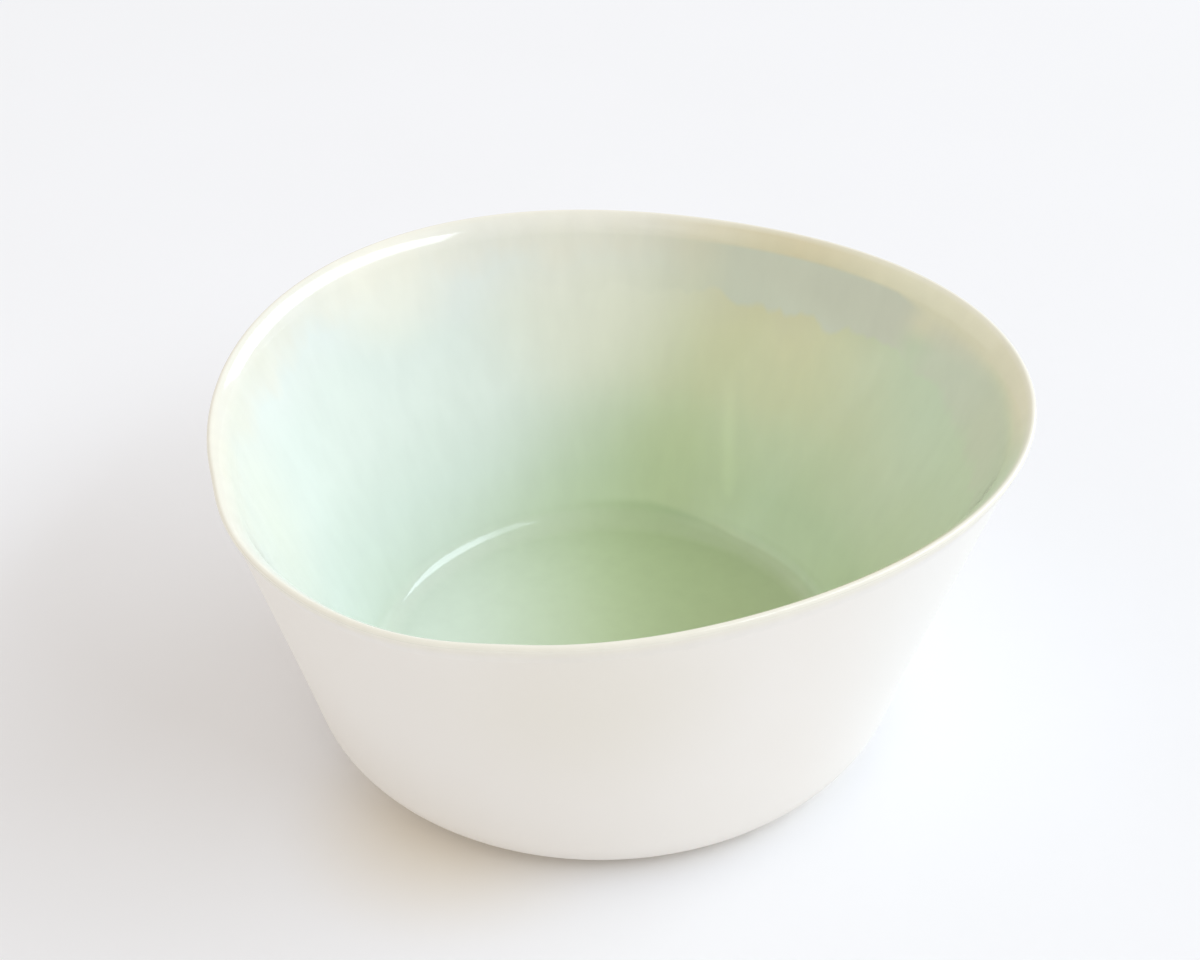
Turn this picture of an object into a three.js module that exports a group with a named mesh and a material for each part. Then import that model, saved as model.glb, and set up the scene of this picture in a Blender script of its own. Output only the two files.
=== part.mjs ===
// Small porcelain bowl: a round foot, walls that open outwards, and a rim squeezed into a soft egg.
// The outside is bare fired clay. The inside carries a green celadon glaze, and a cream glaze covers the lip.
// Millimetres, +Z up. The foot stands on z = 0, the point of the egg is toward +X, and the origin lies
// under the middle of the rim's length and width.
import * as THREE from "three";

// Overall sizes
const bowlHeight = 64; // table to the top of the glazed lip
const rimRadius = 68.9; // mean radius of the lip, over its glaze
const footRadius = 42.5; // radius of the flat the bowl stands on

// The egg: how far the rim's outline departs from a circle about the throwing axis
const rimShift = 1.5; // the whole rim leans this far toward the point
const rimOval = 3.1; // both ends drawn out, both sides pressed in
const rimPoint = 2.5; // one end sharpened, the other flattened
const cornerPull = 1.7; // a soft corner beside the blunt end, drawn out by hand
const cornerAngle = 223; // degrees from the point of the egg to the middle of that corner
const cornerReach = 32; // degrees to either side over which the corner fades out
const softStart = 0.3; // share of the wall over which the squeeze sets in

// Clay thicknesses and curves
const lipThickness = 1.4; // bare clay at the lip, before its inner side is bevelled
const wallThickness = 8.8; // bare clay where the wall meets the floor
const floorThickness = 4.5; // bare clay under the floor, above the table
const heelRadius = 12; // round between the foot and the outer wall
const floorFillet = 6; // hollow curve between the floor and the inner wall
const footRingWidth = 6; // flat ring left standing when the underside was turned
const footHollow = 0.8; // depth of the turned hollow inside the ring

// Lip: the inner wall bends over in a long bevel and ends in a thin crest at the outer edge
const crestRadius = 0.6; // round of the crest, over its glaze
const clayCrest = 0.25; // round of the bare clay under it
const bevelTilt = 55; // degrees from level at which the bevel's face meets the crest

// Glaze coats
const liningThickness = 0.4; // green glaze on the floor and wall
const lipGlazeThickness = 0.4; // cream glaze over the lip
const glazeSeat = 0.12; // clearance between a glaze coat and the clay, and between the two coats
const lipGlazeInside = 6.5; // how far the cream glaze runs down the inner wall
const lipGlazeOutside = 0.8; // how far it laps over onto the outer wall

// Smoothness of the curves
const turns = 72; // steps round the bowl
const curveSteps = 6; // steps along the heel and along the hollow curve
const lipSteps = 6; // steps along the bevel and over the crest
const wallSteps = 8; // steps along a straight wall, so that it follows the squeeze

// Values that follow from the sizes above
const lipCoat = glazeSeat + lipGlazeThickness;
const floorCoat = glazeSeat + liningThickness;
const lipRadius = lipThickness / 2;
const glazedFloor = floorThickness + floorCoat;

// A point of a profile: x is the distance from the throwing axis, y the height
const point = (x, y) => new THREE.Vector2(x, y);
const along = (start, direction, distance) => start.clone().addScaledVector(direction, distance);
const heading = (angle) => point(Math.cos(angle), Math.sin(angle));

// Points of an arc, both ends included
function arc(centre, radius, from, to, steps) {
  const points = [];
  for (let i = 0; i <= steps; i++) {
    points.push(along(centre, heading(from + ((to - from) * i) / steps), radius));
  }
  return points;
}

// Points of a straight run, both ends included
function run(from, to, steps) {
  const points = [];
  for (let i = 0; i <= steps; i++) points.push(from.clone().lerp(to, i / steps));
  return points;
}

// The outer wall, with its glaze, touches two circles: the heel below and the crest of the lip above.
const heelCentre = point(footRadius, heelRadius);
const crestCentre = point(rimRadius - crestRadius, bowlHeight - crestRadius);
const rise = crestCentre.clone().sub(heelCentre);
const outAngle = rise.angle() - Math.acos((heelRadius + lipCoat - crestRadius) / rise.length());
const flare = -outAngle; // the outer wall's lean from upright
const outward = heading(outAngle); // square to the outer wall, pointing away from the clay
const lipCentre = along(crestCentre, outward, crestRadius - lipCoat - lipRadius); // middle of the clay

// The inner wall leans a little more, because the clay thickens toward the floor.
const wallRun = (lipCentre.y - floorThickness) / Math.cos(flare);
const innerLean = flare + Math.atan((wallThickness - lipThickness) / wallRun);
const inAngle = Math.PI - innerLean;
const inward = heading(inAngle); // square to the inner wall, pointing into the bowl
const downInside = point(-Math.sin(innerLean), -Math.cos(innerLean));
const downOutside = point(-Math.sin(flare), -Math.cos(flare));

// The hollow curve at the foot of the inner wall touches the wall and the floor.
const lipInside = along(lipCentre, inward, lipRadius);
const filletHeight = floorThickness + floorFillet;
const filletReach = (floorFillet - (filletHeight - lipInside.y) * inward.y) / inward.x;
const filletCentre = point(lipInside.x + filletReach, filletHeight);

// The bevel is an arc that touches the inner wall's glaze and the crest.
const crestAngle = Math.PI - THREE.MathUtils.degToRad(bevelTilt);
const bend = Math.cos(inAngle - crestAngle);
const innerReach = lipCentre.dot(inward) + lipRadius + lipCoat - crestCentre.dot(inward);
const bevelRadius = (innerReach - crestRadius * bend) / (1 - bend);
const bevelCentre = along(crestCentre, heading(crestAngle), crestRadius - bevelRadius);

// The inner surface is one curve. A coat's faces are the same curve moved into the bowl by an offset.
const wallFoot = (offset) => along(filletCentre, inward, offset - floorFillet);
const lipFoot = (offset) => along(lipCentre, inward, lipRadius + offset);
const seamFoot = (offset, drop) => along(lipFoot(offset), downInside, lipGlazeInside + drop);
const lapFoot = (offset, drop) =>
  along(along(lipCentre, outward, lipRadius + offset), downOutside, lipGlazeOutside + drop);

// Bevel and crest at an offset from the clay. The crest rolls into the corner of the bevel and the outer wall.
function bevelAndCrest(offset, crest) {
  const reach = bevelRadius - lipCoat + offset;
  const aside = lipCentre.dot(outward) + lipRadius + offset - crest - bevelCentre.dot(outward);
  const climb = Math.sqrt((reach - crest) ** 2 - aside ** 2);
  const centre = along(along(bevelCentre, outward, aside), downOutside, -climb);
  const turn = centre.clone().sub(bevelCentre).angle();
  return [
    ...arc(bevelCentre, reach, inAngle, turn, lipSteps),
    ...arc(centre, crest, turn, outAngle, lipSteps).slice(1),
  ];
}

// Floor from the axis outward, hollow curve, then wall up to the seam between the glazes
function floorAndWall(offset, drop) {
  const down = -Math.PI / 2;
  return [
    point(0, floorThickness + offset),
    ...arc(filletCentre, floorFillet - offset, down, inAngle - Math.PI, curveSteps),
    ...run(wallFoot(offset), seamFoot(offset, drop), wallSteps).slice(1),
  ];
}

// Inner wall up from the seam, over the bevel and the crest, and a little way down the outer wall
function overTheLip(offset, crest, drop) {
  return [seamFoot(offset, 0), ...bevelAndCrest(offset, crest), lapFoot(offset, drop)];
}

// Clay body: underside, foot ring, heel, outer wall, lip, inner wall, floor
function bodyProfile() {
  const ring = footRadius - footRingWidth;
  const heelTop = along(heelCentre, outward, heelRadius);
  const lip = bevelAndCrest(0, clayCrest).reverse();
  return [
    point(0, footHollow),
    point(ring - footHollow, footHollow),
    point(ring, 0),
    ...arc(heelCentre, heelRadius, -Math.PI / 2, outAngle, curveSteps),
    ...run(heelTop, lip[0], wallSteps).slice(1, -1),
    ...lip,
    ...floorAndWall(0, 0).reverse(),
  ];
}

// Green lining: its back lies against the clay and its face is the bowl's inside.
function liningProfile() {
  const back = floorAndWall(glazeSeat, glazeSeat);
  const face = floorAndWall(floorCoat, glazeSeat + liningThickness / 2);
  return [...back, ...face.reverse()];
}

// Cream lip glaze: a ring that closes on itself, feathered where it ends on the outer wall
function lipGlazeProfile() {
  const face = overTheLip(lipCoat, crestRadius, 0);
  const back = overTheLip(glazeSeat, clayCrest + glazeSeat, lipGlazeThickness);
  return [...back, ...face.reverse(), back[0].clone()];
}

// Share of the rim's squeeze felt at a height: none up to the glazed floor, all of it at the lip
function squeezeShare(height) {
  const level = (height - glazedFloor) / (crestCentre.y - glazedFloor);
  const held = Math.min(Math.max(level, 0), 1);
  const eased = held < softStart ? (held * held) / (2 * softStart) : held - softStart / 2;
  return eased / (1 - softStart / 2);
}

// Share of the corner's pull felt at an angle
const cornerMiddle = THREE.MathUtils.degToRad(cornerAngle);
const cornerEnd = Math.cos(THREE.MathUtils.degToRad(cornerReach));
const cornerShare = (angle) => THREE.MathUtils.smoothstep(Math.cos(angle - cornerMiddle), cornerEnd, 1);

// How far the lip moves outward at an angle
function rimMove(angle) {
  const egg = rimShift * Math.cos(angle) + rimOval * Math.cos(2 * angle) + rimPoint * Math.cos(3 * angle);
  return egg + cornerPull * cornerShare(angle);
}

// Turn a profile round the axis, stand it upright, squeeze it into the egg and centre the rim's length.
function squeezedTurning(profile) {
  const geometry = new THREE.LatheGeometry(profile, turns).rotateX(Math.PI / 2);
  const vertices = geometry.getAttribute("position");
  for (let i = 0; i < vertices.count; i++) {
    const x = vertices.getX(i);
    const y = vertices.getY(i);
    const angle = Math.atan2(y, x);
    const radius = Math.hypot(x, y) + rimMove(angle) * squeezeShare(vertices.getZ(i));
    vertices.setXY(i, radius * Math.cos(angle), radius * Math.sin(angle));
  }
  geometry.translate(-rimShift - rimPoint, 0, 0);
  geometry.computeVertexNormals();
  return geometry;
}

function piece(name, profile, colour, roughness) {
  const material = new THREE.MeshStandardMaterial({ color: colour, roughness, metalness: 0 });
  const mesh = new THREE.Mesh(squeezedTurning(profile), material);
  mesh.name = name;
  return mesh;
}

const bowl = new THREE.Group();
bowl.name = "bowl";
bowl.add(piece("porcelain_body", bodyProfile(), 0xf1eee9, 0.85));
bowl.add(piece("celadon_lining", liningProfile(), 0xb9cfb0, 0.1));
bowl.add(piece("lip_glaze", lipGlazeProfile(), 0xe3e0c8, 0.15));

export default bowl;
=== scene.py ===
# %% [markdown]
# A squeezed porcelain bowl.
# The bowl was thrown round on a wheel, then pressed by hand while soft, so its foot is a circle and its
# rim is an egg. The outside is bare clay. The inside is celadon, a glossy green glaze, and cream glaze
# covers the lip. This lesson loads the CAD model as a fixed frame, makes each piece again as a smooth
# mesh, gives it a finish and lights it.

# %% Load the fixed frame
import math

import bmesh
import bpy
from mathutils import Matrix, Quaternion, Vector


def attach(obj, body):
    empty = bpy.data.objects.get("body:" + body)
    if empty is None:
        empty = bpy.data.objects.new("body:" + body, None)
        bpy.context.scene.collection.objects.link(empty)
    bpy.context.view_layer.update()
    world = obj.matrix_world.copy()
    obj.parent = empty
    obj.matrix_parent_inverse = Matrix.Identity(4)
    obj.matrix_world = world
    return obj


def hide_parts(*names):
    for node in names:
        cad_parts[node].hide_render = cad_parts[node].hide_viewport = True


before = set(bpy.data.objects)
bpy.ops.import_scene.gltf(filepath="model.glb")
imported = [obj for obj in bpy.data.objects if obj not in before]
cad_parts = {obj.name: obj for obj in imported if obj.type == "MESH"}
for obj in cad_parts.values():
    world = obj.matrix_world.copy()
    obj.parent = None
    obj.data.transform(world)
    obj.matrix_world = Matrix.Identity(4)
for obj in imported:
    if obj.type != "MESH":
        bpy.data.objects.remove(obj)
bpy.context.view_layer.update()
print("CAD nodes:", sorted(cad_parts))

# %% [markdown]
# Sizes.
# Blender works in metres here, and a bowl is drawn in millimetres, so every size is written in
# millimetres and multiplied once. They are the CAD model's own sizes, with the height and the rim 0.02 mm
# smaller, so that a finer mesh stays inside its box. A size that only one step needs is written there.

# %% Sizes of the bowl
MM = 0.001
bowl_height = 63.98 * MM  # table to the top of the glazed lip
rim_radius = 68.88 * MM  # mean radius of the lip, over its glaze
foot_radius = 42.5 * MM  # radius of the flat that the bowl stands on
heel_radius = 12 * MM  # round between the foot and the outer wall
lip_thickness = 1.4 * MM  # bare clay at the lip, before its inner side is bevelled
wall_thickness = 8.8 * MM  # bare clay where the wall meets the floor
floor_thickness = 4.5 * MM  # bare clay under the floor
floor_fillet = 6 * MM  # hollow curve between the floor and the inner wall
glaze_coat = 0.52 * MM  # glaze on the floor, the wall and the lip
crest_radius = 0.6 * MM  # round of the lip's crest, over its glaze
lip_radius = lip_thickness / 2
print("bowl", round(bowl_height / MM, 2), "mm high, foot", round(2 * foot_radius / MM, 1), "mm across")

# %% [markdown]
# The profile.
# A turned form is drawn as half of its cross-section. The outer wall, with its glaze, is the line that
# touches two circles, the heel below and the thin crest of the lip above. The inner wall leans more,
# because the clay thickens toward the floor. A glaze coat is the same inner curve moved into the bowl, so
# one function with an offset draws the clay's inside and the glaze's face.


# %% Points of an arc and of a straight run
def heading(angle):
    return Vector((math.cos(angle), math.sin(angle)))


def arc(centre, radius, start, end, steps):
    turn = (end - start) / steps
    return [centre + heading(start + turn * i) * radius for i in range(steps + 1)]


def run(start, end, steps):
    return [start.lerp(end, i / steps) for i in range(steps + 1)]


# %% Lines that shape the profile
heel_centre = Vector((foot_radius, heel_radius))
crest_centre = Vector((rim_radius - crest_radius, bowl_height - crest_radius))
rise = crest_centre - heel_centre
tangent_angle = math.acos((heel_radius + glaze_coat - crest_radius) / rise.length)
out_angle = math.atan2(rise.y, rise.x) - tangent_angle
outward = heading(out_angle)
lip_centre = crest_centre + outward * (crest_radius - glaze_coat - lip_radius)
wall_run = (lip_centre.y - floor_thickness) / math.cos(out_angle)
inner_lean = math.atan((wall_thickness - lip_thickness) / wall_run) - out_angle
in_angle = math.pi - inner_lean
inward = heading(in_angle)
down_inside = Vector((-math.sin(inner_lean), -math.cos(inner_lean)))
down_outside = Vector((math.sin(out_angle), -math.cos(out_angle)))
lip_inside = lip_centre + inward * lip_radius
fillet_height = floor_thickness + floor_fillet
fillet_reach = (floor_fillet - (fillet_height - lip_inside.y) * inward.y) / inward.x
fillet_centre = Vector((lip_inside.x + fillet_reach, fillet_height))
print("outer wall leans", round(math.degrees(-out_angle), 1), "degrees")
print("inner wall leans", round(math.degrees(inner_lean), 1), "degrees")

# %% Inner surface at an offset from the clay
FLOOR_STEPS = 12
CURVE_STEPS = 24
WALL_STEPS = 40
lip_glaze_inside = 6.5 * MM  # how far the cream glaze runs down the inner wall


def seam(offset):
    return lip_centre + inward * (lip_radius + offset) + down_inside * lip_glaze_inside


def floor_and_wall(offset):
    fillet = arc(fillet_centre, floor_fillet - offset, -math.pi / 2, in_angle - math.pi, CURVE_STEPS)
    floor = run(Vector((0, floor_thickness + offset)), fillet[0], FLOOR_STEPS)
    foot_of_wall = fillet_centre + inward * (offset - floor_fillet)
    wall = run(foot_of_wall, seam(offset), WALL_STEPS)
    return floor + fillet[1:] + wall[1:]


# %% [markdown]
# The lip.
# The inner wall bends over in a long bevel, as a finger or a wet leather leaves it, and ends in a thin
# crest at the outer edge. The bevel is an arc that touches the inner face and the crest, which fixes its
# radius. Under the glaze the clay ends in a smaller crest of its own, rolled into the corner between the
# bevel and the outer wall.

# %% Bevel and crest of the lip
CREST_STEPS = 12
bevel_tilt = math.radians(55)  # from level, where the bevel meets the crest
crest_angle = math.pi - bevel_tilt
bevel_cosine = math.cos(in_angle - crest_angle)
inner_reach = lip_centre.dot(inward) + lip_radius + glaze_coat - crest_centre.dot(inward)
bevel_radius = (inner_reach - crest_radius * bevel_cosine) / (1 - bevel_cosine)
bevel_centre = crest_centre + heading(crest_angle) * (crest_radius - bevel_radius)
print("bevel radius", round(bevel_radius / MM, 2), "mm")


def bevel_and_crest(offset, crest):
    reach = bevel_radius - glaze_coat + offset
    aside = lip_centre.dot(outward) + lip_radius + offset - crest - bevel_centre.dot(outward)
    climb = math.sqrt((reach - crest) ** 2 - aside**2)
    centre = bevel_centre + outward * aside - down_outside * climb
    turn = math.atan2(centre.y - bevel_centre.y, centre.x - bevel_centre.x)
    bevel = arc(bevel_centre, reach, in_angle, turn, CURVE_STEPS)
    return bevel + arc(centre, crest, turn, out_angle, CREST_STEPS)[1:]


# %% [markdown]
# Throwing the pieces.
# Blender's Spin does what the wheel does: it carries the profile round the axis. The first and last rows
# meet and the points on the axis fall together, so doubles are merged before the normals are worked out.
# A number can be painted on each point of the profile, and Spin carries it round too, for a material that
# follows the surface.

# %% Turn a profile on the wheel
TURNS = 240
weld_distance = 0.001 * MM


def thrown(name, profile, closed=False, over_crest=()):
    shape = bmesh.new()
    paint = shape.verts.layers.float.new("over_crest")
    row = [shape.verts.new((point.x, 0, point.y)) for point in profile]
    for vertex, share in zip(row, over_crest):
        vertex[paint] = share
    links = list(zip(row, row[1:])) + ([(row[-1], row[0])] if closed else [])
    edges = [shape.edges.new(pair) for pair in links]
    upright = (0, 0, 1)
    bmesh.ops.spin(shape, geom=row + edges, axis=upright, cent=(0, 0, 0), angle=math.tau, steps=TURNS)
    bmesh.ops.remove_doubles(shape, verts=shape.verts, dist=weld_distance)
    bmesh.ops.recalc_face_normals(shape, faces=shape.faces)
    mesh = bpy.data.meshes.new(name)
    shape.to_mesh(mesh)
    shape.free()
    piece = bpy.data.objects.new(name, mesh)
    bpy.context.scene.collection.objects.link(piece)
    print(name, "thrown with", len(mesh.polygons), "faces")
    return piece


# %% [markdown]
# Adding nodes.
# Shaders and Geometry Nodes are both trees of nodes. One small function adds a node, sets its options and
# fills its inputs, either with a plain value or with a link from another node. Colours are written as
# sRGB hex values, as a paint program shows them, and shaders work in linear light, so another small
# function converts them.


# %% One function for every node, and one for colours
def add(tree, kind, inputs=None, **options):
    node = tree.nodes.new(kind)
    for option, value in options.items():
        setattr(node, option, value)
    for socket, value in (inputs or {}).items():
        if isinstance(value, bpy.types.NodeSocket):
            tree.links.new(value, node.inputs[socket])
        else:
            node.inputs[socket].default_value = value
    return node


def hex_colour(code):
    def linear(part):
        share = int(part, 16) / 255
        return share / 12.92 if share <= 0.04045 else ((share + 0.055) / 1.055) ** 2.4

    return tuple(linear(code[i : i + 2]) for i in (1, 3, 5)) + (1.0,)


# %% [markdown]
# Squeezing the rim.
# The egg is a rule: a point moves outward or inward by an amount that depends on its angle round the axis,
# and the move grows with height from nothing at the floor to all of it at the lip. One soft corner beside
# the blunt end is drawn out a little further. The points could be moved one by one in Python, but a
# Geometry Nodes tree writes the rule once, with its sizes as named inputs, and all three pieces go through
# it, so they stay parallel.

# %% Sizes of the egg
rim_shift = 1.5 * MM  # the whole rim leans this far toward the point
rim_oval = 3.1 * MM  # both ends drawn out, both sides pressed in
rim_point = 2.5 * MM  # one end sharpened, the other flattened
corner_pull = 1.7 * MM  # the soft corner is drawn out this far
corner_angle = math.radians(223)  # from the point of the egg to the middle of the corner
corner_reach = math.radians(32)  # to either side, over which the corner fades out
soft_start = 0.3  # share of the wall over which the squeeze sets in
axis_x = -rim_shift - rim_point  # place of the throwing axis, once the rim's length is centred
SQUEEZE_SIZES = {
    "Rim shift": rim_shift,
    "Rim oval": rim_oval,
    "Rim point": rim_point,
    "Corner pull": corner_pull,
    "Corner angle": corner_angle,
    "Corner end": math.cos(corner_reach),
    "Soft start": soft_start,
    "Floor level": floor_thickness + glaze_coat,
    "Lip level": crest_centre.y,
    "Axis": axis_x,
}
print("rim length", round(2 * (rim_radius + rim_oval) / MM, 1), "mm")

# %% The squeeze as Geometry Nodes
squeeze = bpy.data.node_groups.new("squeeze_to_egg", "GeometryNodeTree")
squeeze.interface.new_socket("Geometry", in_out="INPUT", socket_type="NodeSocketGeometry")
for size in SQUEEZE_SIZES:
    squeeze.interface.new_socket(size, in_out="INPUT", socket_type="NodeSocketFloat")
squeeze.interface.new_socket("Finish", in_out="INPUT", socket_type="NodeSocketMaterial")
squeeze.interface.new_socket("Geometry", in_out="OUTPUT", socket_type="NodeSocketGeometry")
sizes = add(squeeze, "NodeGroupInput").outputs
place = add(squeeze, "GeometryNodeInputPosition").outputs[0]
axes = add(squeeze, "ShaderNodeSeparateXYZ", {0: place}).outputs
print("squeeze takes", len(SQUEEZE_SIZES), "sizes")

# %% How far the rim moves at each angle
angle = add(squeeze, "ShaderNodeMath", {0: axes["Y"], 1: axes["X"]}, operation="ARCTAN2").outputs[0]
egg = 0.0
for lobes, size in ((1, "Rim shift"), (2, "Rim oval"), (3, "Rim point")):
    lobe = add(squeeze, "ShaderNodeMath", {0: angle, 1: lobes}, operation="MULTIPLY").outputs[0]
    lobe = add(squeeze, "ShaderNodeMath", {0: lobe}, operation="COSINE").outputs[0]
    egg = {0: lobe, 1: sizes[size], 2: egg}
    egg = add(squeeze, "ShaderNodeMath", egg, operation="MULTIPLY_ADD").outputs[0]
from_corner = {0: angle, 1: sizes["Corner angle"]}
from_corner = add(squeeze, "ShaderNodeMath", from_corner, operation="SUBTRACT").outputs[0]
from_corner = add(squeeze, "ShaderNodeMath", {0: from_corner}, operation="COSINE").outputs[0]
corner = {"Value": from_corner, "From Min": sizes["Corner end"], "To Max": sizes["Corner pull"]}
corner = add(squeeze, "ShaderNodeMapRange", corner, interpolation_type="SMOOTHSTEP").outputs[0]
egg = add(squeeze, "ShaderNodeMath", {0: egg, 1: corner}, operation="ADD").outputs[0]

# %% How much of it is felt at each height: a parabola at first, then a straight line
level = {"Value": axes["Z"], "From Min": sizes["Floor level"], "From Max": sizes["Lip level"]}
level = add(squeeze, "ShaderNodeMapRange", level, clamp=True).outputs[0]
soft = sizes["Soft start"]
short = {0: soft, 1: level}
short = add(squeeze, "ShaderNodeMath", short, operation="SUBTRACT", use_clamp=True).outputs[0]
easing = add(squeeze, "ShaderNodeMath", {0: short, 1: 2.0}, operation="POWER").outputs[0]
double = add(squeeze, "ShaderNodeMath", {0: soft, 1: 2.0}, operation="MULTIPLY").outputs[0]
easing = add(squeeze, "ShaderNodeMath", {0: easing, 1: double}, operation="DIVIDE").outputs[0]
half = add(squeeze, "ShaderNodeMath", {0: soft, 1: 0.5}, operation="MULTIPLY").outputs[0]
line = add(squeeze, "ShaderNodeMath", {0: level, 1: half}, operation="SUBTRACT").outputs[0]
line = add(squeeze, "ShaderNodeMath", {0: line, 1: easing}, operation="ADD").outputs[0]
whole = add(squeeze, "ShaderNodeMath", {0: 1.0, 1: half}, operation="SUBTRACT").outputs[0]
share = add(squeeze, "ShaderNodeMath", {0: line, 1: whole}, operation="DIVIDE").outputs[0]
move = add(squeeze, "ShaderNodeMath", {0: egg, 1: share}, operation="MULTIPLY").outputs[0]

# %% Move the points and finish the tree
flat = add(squeeze, "ShaderNodeCombineXYZ", {0: axes["X"], 1: axes["Y"]}).outputs[0]
radial = add(squeeze, "ShaderNodeVectorMath", {0: flat}, operation="NORMALIZE").outputs[0]
push = add(squeeze, "ShaderNodeVectorMath", {0: radial, "Scale": move}, operation="SCALE").outputs[0]
centring = add(squeeze, "ShaderNodeCombineXYZ", {0: sizes["Axis"]}).outputs[0]
total = add(squeeze, "ShaderNodeVectorMath", {0: push, 1: centring}, operation="ADD").outputs[0]
moved = {"Geometry": sizes["Geometry"], "Offset": total}
moved = add(squeeze, "GeometryNodeSetPosition", moved).outputs[0]
solid = add(squeeze, "GeometryNodeRealizeInstances", {"Geometry": moved}).outputs[0]
dressed = {"Geometry": solid, "Material": sizes["Finish"]}
dressed = add(squeeze, "GeometryNodeSetMaterial", dressed).outputs[0]
add(squeeze, "NodeGroupOutput", {"Geometry": dressed})
SOCKETS = {}
for item in squeeze.interface.items_tree:
    if item.in_out == "INPUT":
        SOCKETS[item.name] = item.identifier
print("squeeze tree has", len(squeeze.nodes), "nodes")

# %% Put a thrown piece through the squeeze
SHARP_EDGE = math.radians(50)


def squeezed(piece, finish):
    modifier = piece.modifiers.new("squeeze", "NODES")
    modifier.node_group = squeeze
    for size, value in SQUEEZE_SIZES.items():
        modifier[SOCKETS[size]] = value
    modifier[SOCKETS["Finish"]] = finish
    evaluated = piece.evaluated_get(bpy.context.evaluated_depsgraph_get())
    mesh = bpy.data.meshes.new_from_object(evaluated)
    piece.modifiers.remove(modifier)
    piece.data = mesh
    mesh.shade_smooth()
    mesh.set_sharp_from_angle(angle=SHARP_EDGE)
    print(piece.name, "squeezed:", [round(side / MM, 1) for side in piece.dimensions], "mm")
    return piece


# %% [markdown]
# Bare porcelain.
# The outside is high-fired porcelain without glaze, smoothed with a wet sponge. It gives the eye a warm
# white that hardly shines, with a very fine grit. One flat white would look like plastic, so two close
# whites drift into each other over a few centimetres, and a bump of fine grains breaks the light. Painted
# light makes the side toward the window, at the point of the egg, a lighter and cooler white, and painted
# shade makes the upper front a darker, warmer one. Real grains are about 0.1 mm, too fine to show, so
# they are drawn at 0.5 mm. The scale of a noise is one over the size of its grains.

# %% White of the clay, with painted light on the window's side and painted shade at the front
# Painted light: the side toward the window is a lighter, cooler white
LIT_SIDE_WHITE = "#F5F4F0"
LIT_SIDE_START = 24 * MM  # along the bowl, where the painted light sets in
LIT_SIDE_END = 50 * MM  # and where it is complete
# Painted shade: the upper front is a darker, warmer white
SHADED_FRONT_WHITE = "#EEEAE0"
SHADED_FRONT_PLACE = (-11 * MM, -60 * MM, 51 * MM)
SHADED_FRONT_REACH = 34 * MM
SHADED_FRONT_STRENGTH = 0.85
TINT_CORE = 4 * MM  # a soft tint keeps its full strength this far from its middle


def clay_with_painted_light(tree, place, white):
    along = add(tree, "ShaderNodeSeparateXYZ", {0: place}).outputs["X"]
    span = {"Value": along, "From Min": LIT_SIDE_START, "From Max": LIT_SIDE_END}
    lit_side = add(tree, "ShaderNodeMapRange", span, interpolation_type="SMOOTHSTEP").outputs[0]
    lit_tint = {0: lit_side, 6: white, 7: hex_colour(LIT_SIDE_WHITE)}
    white = add(tree, "ShaderNodeMix", lit_tint, data_type="RGBA").outputs[2]
    near = add(tree, "ShaderNodeVectorMath", {0: place, 1: SHADED_FRONT_PLACE}, operation="DISTANCE").outputs[1]
    span = {"Value": near, "From Min": TINT_CORE, "From Max": SHADED_FRONT_REACH}
    span |= {"To Min": SHADED_FRONT_STRENGTH, "To Max": 0.0}
    shaded_front = add(tree, "ShaderNodeMapRange", span, interpolation_type="SMOOTHSTEP").outputs[0]
    shade_tint = {0: shaded_front, 6: white, 7: hex_colour(SHADED_FRONT_WHITE)}
    return add(tree, "ShaderNodeMix", shade_tint, data_type="RGBA").outputs[2]


# %% Start a finish with an empty tree
def blank_finish(name):
    finish = bpy.data.materials.new(name)
    finish.use_nodes = True
    finish.node_tree.nodes.clear()
    return finish


# %% Material: sponged bisque porcelain
CLAY_WHITES = ("#F1EDE6", "#F5F2ED")
CLAY_DRIFT = 45 * MM
CLAY_GRAIN = 0.5 * MM
GRAIN_RELIEF = 0.05 * MM

bisque = blank_finish("bisque_porcelain_sponged")
tree = bisque.node_tree
place = add(tree, "ShaderNodeTexCoord").outputs["Object"]
drift = {"Vector": place, "Scale": 1 / CLAY_DRIFT, "Detail": 3.0}
drift = add(tree, "ShaderNodeTexNoise", drift).outputs[0]
whites = {0: drift, 6: hex_colour(CLAY_WHITES[0]), 7: hex_colour(CLAY_WHITES[1])}
white = add(tree, "ShaderNodeMix", whites, data_type="RGBA").outputs[2]
white = clay_with_painted_light(tree, place, white)
grit = {"Vector": place, "Scale": 1 / CLAY_GRAIN, "Detail": 2.0}
grit = add(tree, "ShaderNodeTexNoise", grit).outputs[0]
relief = {"Height": grit, "Strength": 0.12, "Distance": GRAIN_RELIEF}
relief = add(tree, "ShaderNodeBump", relief).outputs[0]
dry = {"Value": grit, "To Min": 0.72, "To Max": 0.86}
dry = add(tree, "ShaderNodeMapRange", dry).outputs[0]
clay = {"Base Color": white, "Roughness": dry, "Normal": relief, "IOR": 1.5, "Specular IOR Level": 0.35}
clay = add(tree, "ShaderNodeBsdfPrincipled", clay).outputs[0]
add(tree, "ShaderNodeOutputMaterial", {"Surface": clay})
print(bisque.name, "has", len(tree.nodes), "nodes")

# %% [markdown]
# Celadon and cream glaze.
# Celadon is a glassy glaze, coloured by a little iron, over white porcelain. It is thin and cream on the
# lip, where it drains away while molten, milky and blue-grey in a band below, mint on the wall, and green
# where it pools on the floor. Each coat could have a colour of its own, but then a line would show where
# they meet, so one colour field follows height and place on both. The next steps add its layers one by one,
# and some layers also carry painted light, painted shade and a painted reflection.
# The first is the height: molten glaze creeps in streaks, so bands that followed the plain height would
# look ruled. It is swayed by a noise that is drawn out along the wall, and more and more above the pool.

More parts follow.
